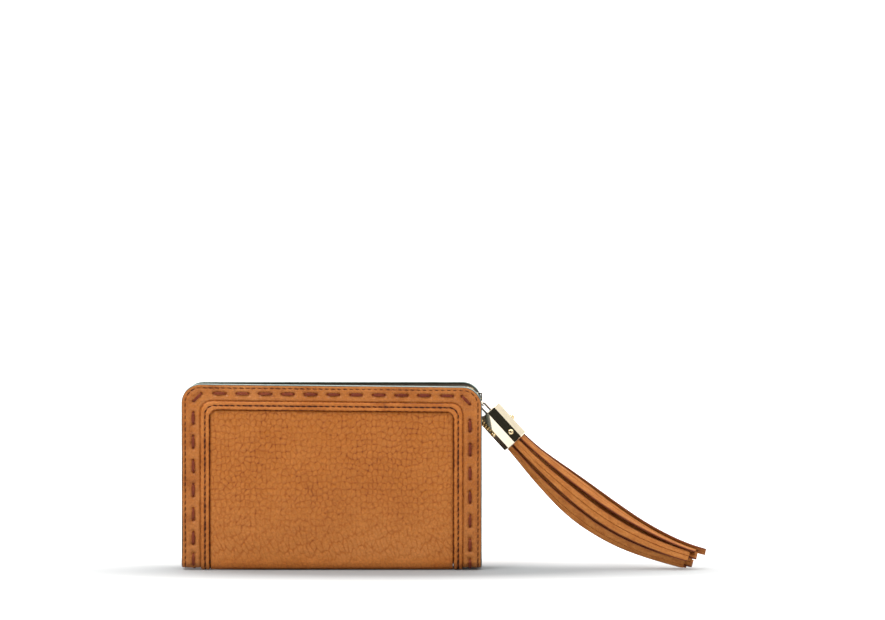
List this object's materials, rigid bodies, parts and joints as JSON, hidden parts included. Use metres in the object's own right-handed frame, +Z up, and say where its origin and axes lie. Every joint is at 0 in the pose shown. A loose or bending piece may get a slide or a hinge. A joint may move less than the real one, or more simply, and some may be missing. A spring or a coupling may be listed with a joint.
{
  "type": "zip around wallet",
  "caption": "Zip around leather wallet that stands on its spine, with laced borders, card slots, a zipped coin divider and a fringe tassel on the zip.",
  "frame": {"origin": "middle of the flat underside of the spine, on the table", "axes": "+X to the tassel side, -Y out of the front cover, +Z up"},
  "size_m": [0.2448, 0.0264, 0.087],
  "materials": {
    "grained_leather": "grained",
    "border_leather": "smooth",
    "lace_leather": "satin",
    "board": "matt",
    "lining": "matt",
    "inner_leather": "matt",
    "tape": "woven",
    "teeth": "satin",
    "pale_gold": "polished",
    "screw_brass": "satin",
    "fringe_leather": "suede edge"
  },
  "bodies": {
    "case": {"band_back": "border_leather", "band_fold_left": "border_leather", "band_fold_right": "border_leather", "board_back": "board", "board_spine": "board", "card_slot_back_1": "inner_leather", "card_slot_back_2": "inner_leather", "gusset_left": "lining", "gusset_right": "lining", "lace_back": "lace_leather", "lining_back": "lining", "lining_spine": "lining", "panel_back": "grained_leather", "panel_fold": "grained_leather", "strip_back": "grained_leather", "strip_fold_left": "grained_leather", "strip_fold_right": "grained_leather", "zip_tape_back": "tape", "zip_teeth_back": "teeth"},
    "front_cover": {"band_front": "border_leather", "board_front": "board", "card_slot_front_1": "inner_leather", "card_slot_front_2": "inner_leather", "lace_front": "lace_leather", "lining_front": "lining", "panel_front": "grained_leather", "strip_front": "grained_leather", "zip_tape_front": "tape", "zip_teeth_front": "teeth"},
    "divider": {"coin_tape_back": "tape", "coin_tape_front": "tape", "coin_teeth_back": "teeth", "coin_teeth_front": "teeth", "coin_wall_back": "inner_leather", "coin_wall_front": "inner_leather", "coin_welt": "inner_leather"},
    "coin_slider": {"coin_slider": "pale_gold"},
    "coin_pull": {"coin_pull": "pale_gold"},
    "zip_slider": {"zip_slider": "pale_gold"},
    "pull_ring": {"pull_ring": "pale_gold"},
    "tassel": {"cap_screw_1": "screw_brass", "cap_screw_2": "screw_brass", "cap_screw_3": "screw_brass", "strand_01": "fringe_leather", "strand_02": "fringe_leather", "strand_03": "fringe_leather", "strand_04": "fringe_leather", "strand_05": "fringe_leather", "strand_06": "fringe_leather", "strand_07": "fringe_leather", "strand_08": "fringe_leather", "strand_09": "fringe_leather", "strand_10": "fringe_leather", "strand_11": "fringe_leather", "tassel_cap": "pale_gold", "tassel_core": "fringe_leather", "tassel_loop": "fringe_leather"}
  },
  "joints": [
    {"name": "cover_open", "type": "hinge", "parent": "case", "child": "front_cover", "pos_m": [0, -0.0123, 0.0009], "axis": [1, 0, 0], "range_deg": [0, 90], "deforming": ["panel_fold", "band_fold_left", "band_fold_right", "strip_fold_left", "strip_fold_right", "gusset_left", "gusset_right"]},
    {"name": "divider_lean", "type": "hinge", "parent": "case", "child": "divider", "pos_m": [0, 0, 0.006], "axis": [1, 0, 0], "range_deg": [0, 45]},
    {"name": "coin_zip", "type": "slide", "parent": "divider", "child": "coin_slider", "axis": [-1, 0, 0], "range_m": [0, 0.094]},
    {"name": "coin_pull_swing", "type": "hinge", "parent": "coin_slider", "child": "coin_pull", "pos_m": [0.0464, 0, 0.07295], "axis": [0, 1, 0], "range_deg": [0, 176]},
    {"name": "zip_slide", "type": "slide", "parent": "case", "child": "zip_slider", "axis": [0, 0, -1], "range_m": [0, 0.055]},
    {"name": "ring_turn", "type": "hinge", "parent": "zip_slider", "child": "pull_ring", "pos_m": [0.06895, 0, 0.0794], "axis": [0, -1, 0], "range_deg": [0, 34]},
    {"name": "tassel_swing", "type": "hinge", "parent": "pull_ring", "child": "tassel", "pos_m": [0.07068, 0, 0.07601], "axis": [0, -1, 0], "range_deg": [0, 80]}
  ],
  "couplings": [
    {"joint": "divider_lean", "follows": "cover_open", "ratio": 0.5},
    {"joint": "ring_turn", "follows": "zip_slide", "rad_per_m": 10.773}
  ]
}
